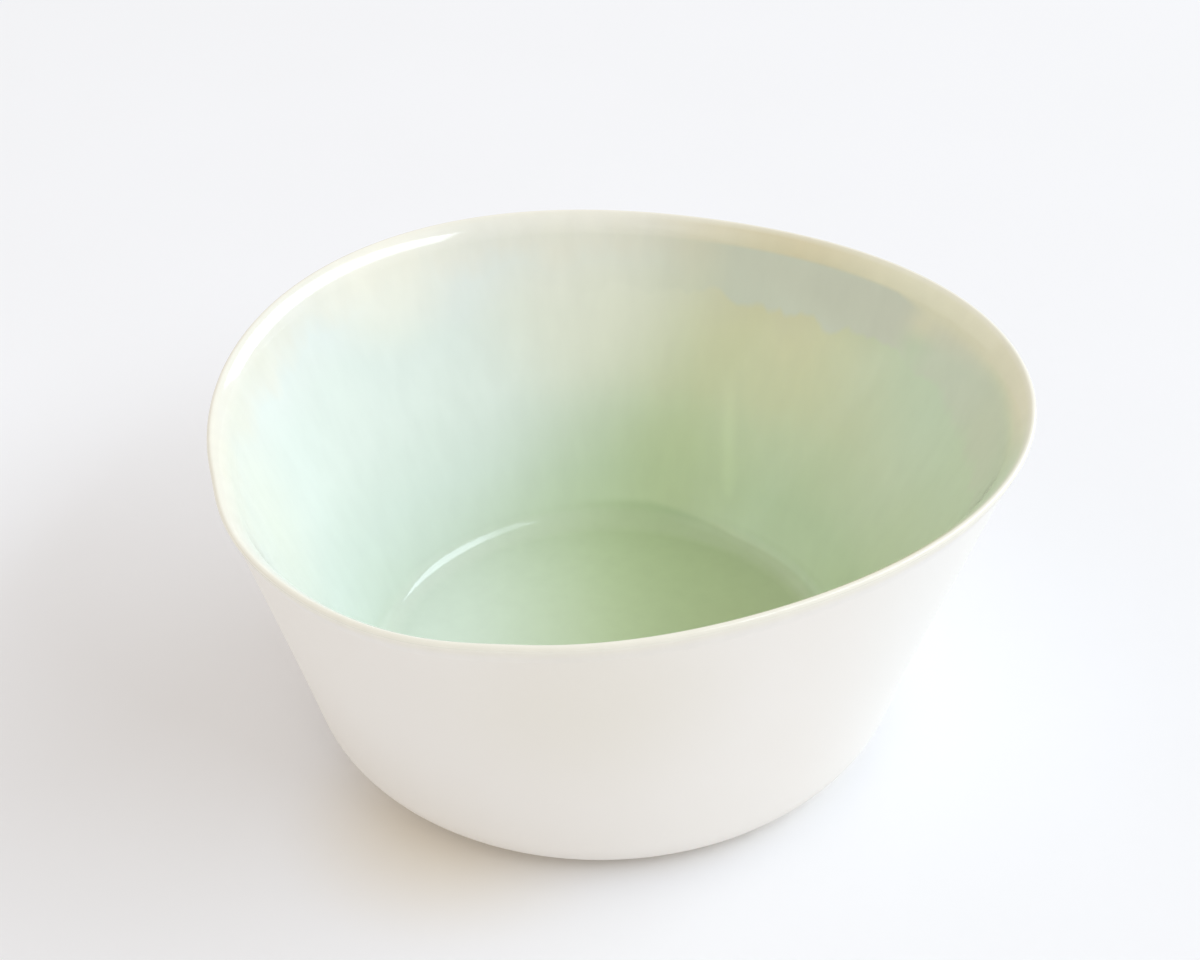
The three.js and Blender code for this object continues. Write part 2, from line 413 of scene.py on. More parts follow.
# %% Height, as the running glaze has it
RUN_WIDTH = 14 * MM
RUN_STRETCH = 0.22  # the noise is read this much slower along the height
RUN_SWAY = 8 * MM
STILL_BELOW = 10 * MM
LOOSE_ABOVE = 40 * MM


def glaze_height(tree, place, axes):
    stretched = {"Vector": place, "Scale": (1.0, 1.0, RUN_STRETCH)}
    stretched = add(tree, "ShaderNodeMapping", stretched).outputs[0]
    runs = {"Vector": stretched, "Scale": 1 / RUN_WIDTH, "Detail": 4.0, "Roughness": 0.55}
    runs = add(tree, "ShaderNodeTexNoise", runs).outputs[0]
    sway = {"Value": runs, "To Min": -RUN_SWAY, "To Max": RUN_SWAY}
    sway = add(tree, "ShaderNodeMapRange", sway).outputs[0]
    loose = {"Value": axes["Z"], "From Min": STILL_BELOW, "From Max": LOOSE_ABOVE}
    loose = add(tree, "ShaderNodeMapRange", loose).outputs[0]
    height = {0: sway, 1: loose, 2: axes["Z"]}
    return add(tree, "ShaderNodeMath", height, operation="MULTIPLY_ADD").outputs[0]


# %% [markdown]
# Mint, and straw with painted shade.
# The glaze is mint on the left and straw on the right, and both pale toward the lip. The straw side is
# also darker as painted shade, for the right half that its own wall keeps out of the window's light, and
# the wide slanting border that blends the two lies along that shadow's edge. Each side has a colour ramp
# from the floor to the lip. A single ramp with a tint over one half would be shorter, but it would give
# both sides their changes at the same heights.

# %% Colours from the floor to the lip on either side
MINT_SIDE = (
    (0.018, "#DCE9DA"),
    (0.08, "#E1EDE3"),
    (0.25, "#E7F2ED"),
    (0.5, "#EFF7F4"),
    (0.7, "#ECF4F1"),
    (0.84, "#ECF2F0"),
    (0.91, "#EFEFE8"),
    (1.0, "#EEEDE2"),
)
# Partly painted shade: these stops are darker for the half that lies out of the window's light
STRAW_AND_SHADE_SIDE = (
    (0.018, "#C5D6AE"),
    (0.09, "#D2E1BD"),
    (0.2, "#CBDAB5"),
    (0.4, "#CFD8B2"),
    (0.5, "#D4D7B0"),
    (0.7, "#DAD8B1"),
    (0.9, "#D6D1B1"),
    (1.0, "#DCD2AF"),
)
RAMP_FOOT = 4 * MM  # height where both ramps start, and they end at the lip
# The border lies along the edge of that painted shade
SLANT_FOOT = (5 * MM, -2 * MM)  # height and place along the bowl where the border starts
SLANT_HEAD = (64 * MM, 33 * MM)  # and where it ends
BORDER_LEFT = -37 * MM  # all mint this far from the slant
BORDER_RIGHT = 7 * MM  # all straw this far from it


# %% Blend the two sides
def mint_to_straw_and_shade(tree, height, axes):
    level = {"Value": height, "From Min": RAMP_FOOT, "From Max": bowl_height}
    level = add(tree, "ShaderNodeMapRange", level).outputs[0]
    tones = []
    for stops in (MINT_SIDE, STRAW_AND_SHADE_SIDE):
        ramp = add(tree, "ShaderNodeValToRGB", {"Fac": level})
        elements = ramp.color_ramp.elements
        ends_first = stops[:1] + stops[-1:] + stops[1:-1]  # a new ramp already has its two ends
        for i, (position, code) in enumerate(ends_first):
            stop = elements[i] if i < 2 else elements.new(position)
            stop.position = position
            stop.color = hex_colour(code)
        tones.append(ramp.outputs[0])
    slant = {"Value": axes["Z"], "From Min": SLANT_FOOT[0], "From Max": SLANT_HEAD[0]}
    slant |= {"To Min": SLANT_FOOT[1], "To Max": SLANT_HEAD[1]}
    slant = add(tree, "ShaderNodeMapRange", slant).outputs[0]
    across = add(tree, "ShaderNodeMath", {0: axes["X"], 1: slant}, operation="SUBTRACT").outputs[0]
    span = {"Value": across, "From Min": BORDER_LEFT, "From Max": BORDER_RIGHT}
    straw_and_shade = add(tree, "ShaderNodeMapRange", span, interpolation_type="SMOOTHSTEP").outputs[0]
    sides = {0: straw_and_shade, 6: tones[0], 7: tones[1]}
    return add(tree, "ShaderNodeMix", sides, data_type="RGBA").outputs[2]


# %% [markdown]
# Soft tints.
# In a few places the colour differs from what the ramps give: creamier high on the back wall and by the
# lip at the back left, and greener low on the back wall. On the far left a warmer, darker tint is painted
# shade, which tones down the window's light where it falls most directly. Each tint is a soft ball of
# colour round a point on the wall, which takes three nodes and is easy to move.

# %% Tints: middle, reach, strength and colour of each
BLUSH = "#F6F0DC"
PALE_CREAM = "#FBF8EB"
OLIVE = "#C7D19D"
TINTS = (
    ((-4 * MM, 58 * MM, 47 * MM), 26 * MM, 0.5, BLUSH),
    ((-41 * MM, 54 * MM, 60 * MM), 20 * MM, 0.7, PALE_CREAM),
    # painted shade: tones down the window's light on the far left
    ((-62 * MM, -10 * MM, 48 * MM), 34 * MM, 0.4, BLUSH),
    ((17 * MM, 45 * MM, 15 * MM), 20 * MM, 0.45, OLIVE),
)


def with_tints(tree, place, colour):
    for middle, reach, strength, code in TINTS:
        near = add(tree, "ShaderNodeVectorMath", {0: place, 1: middle}, operation="DISTANCE").outputs[1]
        span = {"Value": near, "From Min": TINT_CORE, "From Max": reach, "To Min": strength, "To Max": 0.0}
        tint = add(tree, "ShaderNodeMapRange", span, interpolation_type="SMOOTHSTEP").outputs[0]
        tinted = {0: tint, 6: colour, 7: hex_colour(code)}
        colour = add(tree, "ShaderNodeMix", tinted, data_type="RGBA").outputs[2]
    return colour


# %% [markdown]
# The pool, with painted shade and a painted reflection edge.
# Glaze gathers on the floor and turns a deeper green. The green is also painted shade: it fades in from
# the left, where the window's light falls on the floor, into the right half that lies in shadow, and it
# thins again toward the point of the egg. The pool ends at a shore, a height where the wall begins, which
# is higher and softer at the back and lower and crisper on the right. The crisp shore on the right is a
# painted reflection edge, where the glossy fillet stops mirroring the lit wall across the bowl. A round
# patch of colour would not follow the curve up to the wall, so the pool goes by height.

# %% Green pool on the floor
# Pooled glaze, and painted shade on the floor's shadowed right half
POOL_AND_SHADE_GREEN = "#BBCDA1"
SHORE_LEFT = 8 * MM  # along the bowl, where the shore starts to change
SHORE_RIGHT = 24 * MM  # and where the change is complete
# On the right these heights set a painted reflection edge, where the fillet stops mirroring the lit wall
SHORE_AND_REFLECTION_EDGE_TOP = (10.2 * MM, 7.1 * MM)  # height where the green has gone, at these two places
SHORE_AND_REFLECTION_EDGE_FOOT = (8.2 * MM, 6.4 * MM)  # height where it begins to go
POOL_FADE_IN = (-10 * MM, 15 * MM)
POOL_THINS = (22 * MM, 44 * MM)
POOL_LEFT_OVER = 0.3  # share of the green that is left beyond that


def with_pool_and_shade(tree, height, axes, colour):
    edges = []
    for left, right in (SHORE_AND_REFLECTION_EDGE_FOOT, SHORE_AND_REFLECTION_EDGE_TOP):
        edge = {"Value": axes["X"], "From Min": SHORE_LEFT, "From Max": SHORE_RIGHT}
        edge |= {"To Min": left, "To Max": right}
        edges.append(add(tree, "ShaderNodeMapRange", edge).outputs[0])
    span = {"Value": height, "From Min": edges[0], "From Max": edges[1], "To Min": 1.0, "To Max": 0.0}
    pool_and_shade = add(tree, "ShaderNodeMapRange", span, interpolation_type="SMOOTHSTEP").outputs[0]
    thinner = {"Value": axes["X"], "From Min": POOL_THINS[0], "From Max": POOL_THINS[1]}
    thinner |= {"To Min": 1.0, "To Max": POOL_LEFT_OVER}
    thinner = add(tree, "ShaderNodeMapRange", thinner).outputs[0]
    pool_and_shade = add(tree, "ShaderNodeMath", {0: pool_and_shade, 1: thinner}, operation="MULTIPLY").outputs[0]
    span = {"Value": axes["X"], "From Min": POOL_FADE_IN[0], "From Max": POOL_FADE_IN[1]}
    start = add(tree, "ShaderNodeMapRange", span, interpolation_type="SMOOTHSTEP").outputs[0]
    pool_and_shade = add(tree, "ShaderNodeMath", {0: pool_and_shade, 1: start}, operation="MULTIPLY").outputs[0]
    pooled_and_shaded = {0: pool_and_shade, 6: colour, 7: hex_colour(POOL_AND_SHADE_GREEN)}
    return add(tree, "ShaderNodeMix", pooled_and_shaded, data_type="RGBA").outputs[2]


# %% [markdown]
# The point of the egg.
# Toward the point the wall turns sage, a greyer green, and the lip a paler straw. The straw starts lower at
# the back than at the point itself, and it fades out on the near side, where the lip is seen from outside.
# Both could be stops of the straw ramp, but they change along the bowl, so they are a layer of their own.

# %% Sage wall and pale straw lip at the point
SAGE = "#CFDEC2"
PALE_STRAW = "#E6E3C7"
POINT_START = 36 * MM  # along the bowl, where the sage sets in
POINT_END = 60 * MM  # and where it is complete
ABOVE_POOL = (7 * MM, 20 * MM)  # heights between which the sage rises out of the pool
STRAW_SIDES = (6 * MM, 28 * MM)  # across the bowl, from the point toward the back
STRAW_FOOT = (57 * MM, 53 * MM)  # height where the straw starts, at these two places
STRAW_RISE = 5 * MM  # it is complete this much higher
STRAW_NEAR = (-30 * MM, -5 * MM)  # across the bowl, where it fades in from the near side


def with_sage_point(tree, height, axes, colour):
    span = {"Value": axes["X"], "From Min": POINT_START, "From Max": POINT_END}
    at_point = add(tree, "ShaderNodeMapRange", span, interpolation_type="SMOOTHSTEP").outputs[0]
    span = {"Value": height, "From Min": ABOVE_POOL[0], "From Max": ABOVE_POOL[1]}
    above_pool = add(tree, "ShaderNodeMapRange", span, interpolation_type="SMOOTHSTEP").outputs[0]
    sage = add(tree, "ShaderNodeMath", {0: at_point, 1: above_pool}, operation="MULTIPLY").outputs[0]
    foot = {"Value": axes["Y"], "From Min": STRAW_SIDES[0], "From Max": STRAW_SIDES[1]}
    foot |= {"To Min": STRAW_FOOT[0], "To Max": STRAW_FOOT[1]}
    foot = add(tree, "ShaderNodeMapRange", foot).outputs[0]
    head = add(tree, "ShaderNodeMath", {0: foot, 1: STRAW_RISE}, operation="ADD").outputs[0]
    span = {"Value": axes["Z"], "From Min": foot, "From Max": head}
    by_lip = add(tree, "ShaderNodeMapRange", span, interpolation_type="SMOOTHSTEP").outputs[0]
    span = {"Value": axes["Y"], "From Min": STRAW_NEAR[0], "From Max": STRAW_NEAR[1]}
    far_side = add(tree, "ShaderNodeMapRange", span, interpolation_type="SMOOTHSTEP").outputs[0]
    by_lip = add(tree, "ShaderNodeMath", {0: by_lip, 1: far_side}, operation="MULTIPLY").outputs[0]
    tones = {0: by_lip, 6: hex_colour(SAGE), 7: hex_colour(PALE_STRAW)}
    tone = add(tree, "ShaderNodeMix", tones, data_type="RGBA").outputs[2]
    return add(tree, "ShaderNodeMix", {0: sage, 6: colour, 7: tone}, data_type="RGBA").outputs[2]


# %% [markdown]
# The milky band.
# Below the lip the glaze is clouded with fine bubbles, milky and blue-grey. Its lower edge is scalloped,
# because the glaze ran in short fingers, and its upper edge is crisp at the back and blurred at the point.
# The band is strong on the right of the back wall and missing on the left, so a ramp round the bowl, by the
# share of a turn from the point of the egg, sets its strength.

# %% Fingers of glaze, and the share of a turn from the point of the egg
FINGER_WIDTH = 6 * MM
FINGER_STRETCH = 0.1  # the noise is read this much slower along the height


def finger_noise(tree, place):
    drawn = {"Vector": place, "Scale": (1.0, 1.0, FINGER_STRETCH)}
    drawn = add(tree, "ShaderNodeMapping", drawn).outputs[0]
    fingers = {"Vector": drawn, "Scale": 1 / FINGER_WIDTH, "Detail": 2.0}
    return add(tree, "ShaderNodeTexNoise", fingers).outputs[0]


def share_of_turn(tree, axes):
    off_axis = add(tree, "ShaderNodeMath", {0: axes["X"], 1: -axis_x}, operation="ADD").outputs[0]
    turn = add(tree, "ShaderNodeMath", {0: axes["Y"], 1: off_axis}, operation="ARCTAN2").outputs[0]
    turn = add(tree, "ShaderNodeMath", {0: turn, 1: math.tau}, operation="DIVIDE").outputs[0]
    return add(tree, "ShaderNodeMath", {0: turn}, operation="FRACT").outputs[0]


# %% Strength and edges of the milky band
MILK = "#D3D6C5"
MILKY_BY_TURN = (
    (0.0, 0.6),
    (0.055, 0.6),
    (0.068, 0.08),
    (0.08, 1.0),
    (0.17, 0.95),
    (0.19, 0.3),
    (0.22, 0.08),
    (0.3, 0.0),
    (0.5, 0.0),
    (0.92, 0.45),
    (1.0, 0.6),
)
SCALLOP = 1.6 * MM  # how far the fingers carry the lower edge up and down
SCALLOP_NOISE = (0.3, 0.7)  # the noise values that make the highest and the lowest fingers
MILK_FOOT_ALONG = (57 * MM, 63 * MM)  # along the bowl, where the band's foot drops
MILK_FOOT = (50 * MM, 44 * MM)  # its height at these two places
MILK_FULL = 51.5 * MM  # the band is complete at this height
BLUR_ALONG = (54 * MM, 60 * MM)  # along the bowl, where the upper edge blurs
BLUR = (0.4 * MM, 3 * MM)  # how far below MILK_TOP it starts to fade, at these two places
MILK_TOP = 60.6 * MM
MILK_GONE = 61.1 * MM


# %% Add the milky band
def with_milky_band(tree, axes, fingers, turn, colour):
    scallop = {"Value": fingers, "From Min": SCALLOP_NOISE[0], "From Max": SCALLOP_NOISE[1]}
    scallop |= {"To Min": -SCALLOP, "To Max": SCALLOP}
    scallop = add(tree, "ShaderNodeMapRange", scallop).outputs[0]
    ragged = add(tree, "ShaderNodeMath", {0: axes["Z"], 1: scallop}, operation="ADD").outputs[0]
    foot = {"Value": axes["X"], "From Min": MILK_FOOT_ALONG[0], "From Max": MILK_FOOT_ALONG[1]}
    foot |= {"To Min": MILK_FOOT[0], "To Max": MILK_FOOT[1]}
    foot = add(tree, "ShaderNodeMapRange", foot).outputs[0]
    span = {"Value": ragged, "From Min": foot, "From Max": MILK_FULL}
    rising = add(tree, "ShaderNodeMapRange", span, interpolation_type="SMOOTHSTEP").outputs[0]
    blur = {"Value": axes["X"], "From Min": BLUR_ALONG[0], "From Max": BLUR_ALONG[1]}
    blur |= {"To Min": BLUR[0], "To Max": BLUR[1]}
    blur = add(tree, "ShaderNodeMapRange", blur).outputs[0]
    top = add(tree, "ShaderNodeMath", {0: MILK_TOP, 1: blur}, operation="SUBTRACT").outputs[0]
    span = {"Value": axes["Z"], "From Min": top, "From Max": MILK_GONE, "To Min": 1.0, "To Max": 0.0}
    ending = add(tree, "ShaderNodeMapRange", span, interpolation_type="SMOOTHSTEP").outputs[0]
    ramp = add(tree, "ShaderNodeValToRGB", {"Fac": turn})
    elements = ramp.color_ramp.elements
    ends_first = MILKY_BY_TURN[:1] + MILKY_BY_TURN[-1:] + MILKY_BY_TURN[1:-1]
    for i, (position, strength) in enumerate(ends_first):
        stop = elements[i] if i < 2 else elements.new(position)
        stop.position = position
        stop.color = (strength, strength, strength, 1.0)
    milk = add(tree, "ShaderNodeMath", {0: rising, 1: ending}, operation="MULTIPLY").outputs[0]
    milk = add(tree, "ShaderNodeMath", {0: milk, 1: ramp.outputs[0]}, operation="MULTIPLY").outputs[0]
    milky = {0: milk, 6: colour, 7: hex_colour(MILK)}
    return add(tree, "ShaderNodeMix", milky, data_type="RGBA").outputs[2]


# %% [markdown]
# The crest.
# On the crest the glaze is thinnest and palest, and beyond it the coat thins out on the clay until it has
# the clay's colour and dryness. Height can't tell the two sides of the lip apart, so the number painted on
# the profile does: 0 on the bevel, 1 on the crest and 2 where the coat ends.

# %% Pale crest and dry end
CREST = "#F1EEE0"
CLAY = "#F3F0EA"
DRY_SHARE = 0.3  # share of the way from the crest to the end where the shine has gone
DRY_ROUGHNESS = 0.75


def over_the_crest(tree, place, colour, roughness):
    painted = add(tree, "ShaderNodeAttribute", attribute_name="over_crest").outputs["Fac"]
    pale = add(tree, "ShaderNodeClamp", {0: painted}).outputs[0]
    crest = {0: pale, 6: colour, 7: hex_colour(CREST)}
    colour = add(tree, "ShaderNodeMix", crest, data_type="RGBA").outputs[2]
    ending = {"Value": painted, "From Min": 1.0, "From Max": 2.0}
    ending = add(tree, "ShaderNodeMapRange", ending).outputs[0]
    # the bare clay's colour, with the body's painted light and shade
    bare = clay_with_painted_light(tree, place, hex_colour(CLAY))
    colour = add(tree, "ShaderNodeMix", {0: ending, 6: colour, 7: bare}, data_type="RGBA").outputs[2]
    dry = {"Value": ending, "From Max": DRY_SHARE, "To Min": roughness, "To Max": DRY_ROUGHNESS}
    dry = add(tree, "ShaderNodeMapRange", dry).outputs[0]
    return colour, dry


# %% [markdown]
# Shine, threads and ripples.
# The surface is fire polished: very smooth, with a slow waviness of several millimetres that bends
# reflections. Where the pool laps the back wall its skin mirrors less. Fine threads run down the wall, a
# few hundredths lighter or darker, and on the right of the back wall one paler streak is a painted
# reflection of the lit wall across the bowl. They are factors on the colour, because a factor keeps the
# hue that the layers before it gave.

# %% How strongly the glaze mirrors
MIRROR = 0.5
LAP_MIRROR = 0.22
LAP_START = (-28 * MM, -21 * MM)  # along the bowl, where the duller skin sets in
LAP_END = (8 * MM, 20 * MM)  # and where it ends
LAP_TOP = (10 * MM, 16 * MM)  # heights between which it ends on the wall


def mirror_level(tree, axes):
    span = {"Value": axes["X"], "From Min": LAP_START[0], "From Max": LAP_START[1]}
    lapping = add(tree, "ShaderNodeMapRange", span, interpolation_type="SMOOTHSTEP").outputs[0]
    for axis, (start, end) in (("X", LAP_END), ("Z", LAP_TOP)):
        span = {"Value": axes[axis], "From Min": start, "From Max": end, "To Min": 1.0, "To Max": 0.0}
        fading = add(tree, "ShaderNodeMapRange", span, interpolation_type="SMOOTHSTEP").outputs[0]
        lapping = add(tree, "ShaderNodeMath", {0: lapping, 1: fading}, operation="MULTIPLY").outputs[0]
    mirror = {"Value": lapping, "To Min": MIRROR, "To Max": LAP_MIRROR}
    return add(tree, "ShaderNodeMapRange", mirror).outputs[0]


# %% Fine threads, and one painted reflection streak down the wall
THREAD_WIDTH = 3.5 * MM
THREAD_STRETCH = 0.04  # the noise is read this much slower along the height
THREAD_SHADES = (0.96, 1.04)
REFLECTION_STREAK_ENDS = (14 * MM, 36 * MM)  # heights of the painted reflection streak's lean
REFLECTION_STREAK_TURNS = (0.153, 0.164)  # shares of a turn from the point of the egg, at these heights
REFLECTION_STREAK_WAVER = 0.0025  # share of a turn by which it wavers
REFLECTION_STREAK_HALF = 0.0075  # share of a turn from its middle to its edge
REFLECTION_STREAK_LIGHTER = 0.07
REFLECTION_STREAK_FOOT = (12 * MM, 15 * MM)  # heights between which it sets in
REFLECTION_STREAK_HEAD = (24 * MM, 40 * MM)  # heights between which it fades out


def with_threads_and_reflection_streak(tree, place, axes, fingers, turn, colour):
    drawn = {"Vector": place, "Scale": (1.0, 1.0, THREAD_STRETCH)}
    drawn = add(tree, "ShaderNodeMapping", drawn).outputs[0]
    threads = {"Vector": drawn, "Scale": 1 / THREAD_WIDTH, "Detail": 3.0}
    threads = add(tree, "ShaderNodeTexNoise", threads).outputs[0]
    threads = {"Value": threads, "To Min": THREAD_SHADES[0], "To Max": THREAD_SHADES[1]}
    threads = add(tree, "ShaderNodeMapRange", threads).outputs[0]
    lean = {"Value": axes["Z"], "From Min": REFLECTION_STREAK_ENDS[0], "From Max": REFLECTION_STREAK_ENDS[1]}
    lean |= {"To Min": REFLECTION_STREAK_TURNS[0], "To Max": REFLECTION_STREAK_TURNS[1]}
    lean = add(tree, "ShaderNodeMapRange", lean).outputs[0]
    waver = {"Value": fingers, "To Min": -REFLECTION_STREAK_WAVER, "To Max": REFLECTION_STREAK_WAVER}
    waver = add(tree, "ShaderNodeMapRange", waver).outputs[0]
    lean = add(tree, "ShaderNodeMath", {0: lean, 1: waver}, operation="ADD").outputs[0]
    aside = add(tree, "ShaderNodeMath", {0: turn, 1: lean}, operation="SUBTRACT").outputs[0]
    aside = add(tree, "ShaderNodeMath", {0: aside}, operation="ABSOLUTE").outputs[0]
    span = {"Value": aside, "From Min": 0.0, "From Max": REFLECTION_STREAK_HALF, "To Min": REFLECTION_STREAK_LIGHTER, "To Max": 0.0}
    reflection_streak = add(tree, "ShaderNodeMapRange", span, interpolation_type="SMOOTHSTEP").outputs[0]
    span = {"Value": axes["Z"], "From Min": REFLECTION_STREAK_FOOT[0], "From Max": REFLECTION_STREAK_FOOT[1]}
    foot = add(tree, "ShaderNodeMapRange", span, interpolation_type="SMOOTHSTEP").outputs[0]
    span = {"Value": axes["Z"], "From Min": REFLECTION_STREAK_HEAD[0], "From Max": REFLECTION_STREAK_HEAD[1]}
    span |= {"To Min": 1.0, "To Max": 0.0}
    head = add(tree, "ShaderNodeMapRange", span, interpolation_type="SMOOTHSTEP").outputs[0]
    reflection_streak = add(tree, "ShaderNodeMath", {0: reflection_streak, 1: foot}, operation="MULTIPLY").outputs[0]
    shade = {0: reflection_streak, 1: head, 2: threads}
    shade = add(tree, "ShaderNodeMath", shade, operation="MULTIPLY_ADD").outputs[0]
    return add(tree, "ShaderNodeVectorMath", {0: colour, "Scale": shade}, operation="SCALE").outputs[0]


# %% Material: glaze that drains from the lip to the floor
RIPPLE_WIDTH = 9 * MM
RIPPLE_RELIEF = 0.2 * MM
GLAZE_IOR = 1.66


def fired_glaze(name, roughness):
    finish = blank_finish(name)
    tree = finish.node_tree
    place = add(tree, "ShaderNodeTexCoord").outputs["Object"]
    axes = add(tree, "ShaderNodeSeparateXYZ", {0: place}).outputs
    height = glaze_height(tree, place, axes)
    fingers = finger_noise(tree, place)
    turn = share_of_turn(tree, axes)
    colour = mint_to_straw_and_shade(tree, height, axes)
    colour = with_tints(tree, place, colour)
    colour = with_pool_and_shade(tree, height, axes, colour)
    colour = with_sage_point(tree, height, axes, colour)
    colour = with_milky_band(tree, axes, fingers, turn, colour)
    colour, dry = over_the_crest(tree, place, colour, roughness)
    colour = with_threads_and_reflection_streak(tree, place, axes, fingers, turn, colour)
    mirror = mirror_level(tree, axes)
    ripple = {"Vector": place, "Scale": 1 / RIPPLE_WIDTH, "Detail": 1.0}
    ripple = add(tree, "ShaderNodeTexNoise", ripple).outputs[0]
    relief = {"Height": ripple, "Strength": 0.25, "Distance": RIPPLE_RELIEF}
    relief = add(tree, "ShaderNodeBump", relief).outputs[0]
    glass = {"Base Color": colour, "Roughness": dry, "IOR": GLAZE_IOR, "Normal": relief}
    glass["Specular IOR Level"] = mirror
    glass = add(tree, "ShaderNodeBsdfPrincipled", glass).outputs[0]
    add(tree, "ShaderNodeOutputMaterial", {"Surface": glass})
    print(name, "has", len(tree.nodes), "nodes")
    return finish


celadon = fired_glaze("celadon_glaze_fire_polished", roughness=0.08)
cream = fired_glaze("cream_lip_glaze_fire_polished", roughness=0.1)

# %% [markdown]
# The clay body.
# The body is one closed shell: a turned hollow under the foot, the flat ring it stands on, the rounded
# heel, the wall, the lip and the inside. A shell without its inside would look the same, because glaze
# covers it, but the body is a piece of its own and is whole when the glaze is taken off.

# %% Make the clay body
RING_STEPS = 4
foot_ring_width = 6 * MM
foot_hollow = 0.8 * MM  # depth of the turned hollow inside the ring
clay_crest = 0.25 * MM  # round of the bare clay under the lip's crest
ring = foot_radius - foot_ring_width
underside = run(Vector((0, foot_hollow)), Vector((ring - foot_hollow, foot_hollow)), FLOOR_STEPS)
foot = run(Vector((ring, 0)), Vector((foot_radius, 0)), RING_STEPS)
heel = arc(heel_centre, heel_radius, -math.pi / 2, out_angle, CURVE_STEPS)
lip = bevel_and_crest(0, clay_crest)[::-1]
outer_wall = run(heel[-1], lip[0], WALL_STEPS)
inside = floor_and_wall(0)[::-1]
body_profile = underside + foot + heel[1:] + outer_wall[1:] + lip[1:] + inside
body = squeezed(thrown("thrown_porcelain_body", body_profile), bisque)

# %% [markdown]
# The glaze coats.
# Each coat is a thin closed shell on the clay, with the same curves a little further in. The green one
# covers the floor and wall. The cream one is a ring over the lip. Inside, its edge is tucked under the
# lining, and outside it thins out and melts into the wall. A fired glaze is fused to the clay. Here its
# back lies 0.05 mm off it, because two faces in one place would flicker.

# %% Make the green lining
coat_back = 0.05 * MM
lining_profile = floor_and_wall(coat_back) + floor_and_wall(glaze_coat)[::-1]
lining = squeezed(thrown("celadon_glaze_coat", lining_profile), celadon)

# %% The cream glaze where it laps onto the outer wall
LAP_STEPS = 12
lap_length = 4.2 * MM  # the coat thins out to nothing over this length
face_sink = 0.02 * MM  # how far its face dips into the clay at the end
back_sink = 0.06 * MM  # and how far its back does


def lap(coat, sink):
    points = []
    for i in range(1, LAP_STEPS + 1):
        share = i / LAP_STEPS
        thinning = share * share * (3 - 2 * share)
        offset = coat * (1 - thinning) - sink * thinning
        points.append(lip_centre + outward * (lip_radius + offset) + down_outside * share * lap_length)
    return points


# %% Profile of the cream lip, inside and over the crest
SEAM_STEPS = 4
tuck = down_inside * (0.6 * MM)  # the edge runs on this far below the seam
tuck_depth = 0.004 * MM  # and lies this far under the lining's face
crest_face = bevel_and_crest(glaze_coat, crest_radius)
crest_back = bevel_and_crest(coat_back, clay_crest + coat_back)
lip_face = run(seam(glaze_coat - tuck_depth) + tuck, crest_face[0], SEAM_STEPS) + crest_face[1:]
lip_back = run(seam(coat_back) + tuck, crest_back[0], SEAM_STEPS) + crest_back[1:]
print("lip profile has", len(lip_face), "points on its face, before the lap")

# %% Paint its points and make the cream lip
PALE_LEAD = 6  # points on the bevel, before the crest, where the paint sets in
PALE_STEPS = 9  # points over which it rises from 0 to 1
FADE_SHARE = 0.6  # share of the lap over which it rises from 1 to 2
first_pale = len(lip_face) - CREST_STEPS - PALE_LEAD
painted = [min(max((i - first_pale) / PALE_STEPS, 0), 1) for i in range(len(lip_face))]
painted += [1 + min(i / LAP_STEPS / FADE_SHARE, 1) for i in range(1, LAP_STEPS + 1)]
lip_face += lap(glaze_coat, face_sink)
lip_back += lap(coat_back, back_sink)
lip_profile = lip_face + lip_back[::-1]
lip_coat = thrown("cream_lip_glaze_coat", lip_profile, closed=True, over_crest=painted + painted[::-1])
lip_coat = squeezed(lip_coat, cream)

# %% Tie each piece to the frame
for piece, node, slot in (
    (body, "porcelain_body", "bare_porcelain"),
    (lining, "celadon_lining", "celadon_glaze"),
    (lip_coat, "lip_glaze", "cream_glaze"),
):
    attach(piece, "root")
    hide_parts(node)
    print(piece.name, "stands for", node)

# %% [markdown]
# The floor.
# A wide pale surface carries the bowl and its soft shadow. Porcelain throws light back into its own shadow
# and lets a little through. More lamps would change the bowl too, so two tints on the board stand in for
# that light: a warm one beside the foot, and a pale ring close to the foot.

# %% Make the floor
FLOOR_REACH = 4.0
corners = [(-1, -1), (1, -1), (1, 1), (-1, 1)]
floor_mesh = bpy.data.meshes.new("pale_floor")
floor_mesh.from_pydata([(x * FLOOR_REACH, y * FLOOR_REACH, 0) for x, y in corners], [], [(0, 1, 2, 3)])
pale_floor = bpy.data.objects.new("pale_floor", floor_mesh)
bpy.context.scene.collection.objects.link(pale_floor)
print("floor is", 2 * FLOOR_REACH, "m wide")

# %% Material: matt painted board
BOARD_WHITES = ("#F0F0F1", "#F2F2F4")
BOARD_DRIFT = 60 * MM
GLOW = "#E9E2D6"
GLOW_PLACE = (-34 * MM, -36 * MM, 0.0)
GLOW_REACH = 34 * MM
RING = "#FDFAF5"
RING_WIDTH = 12 * MM

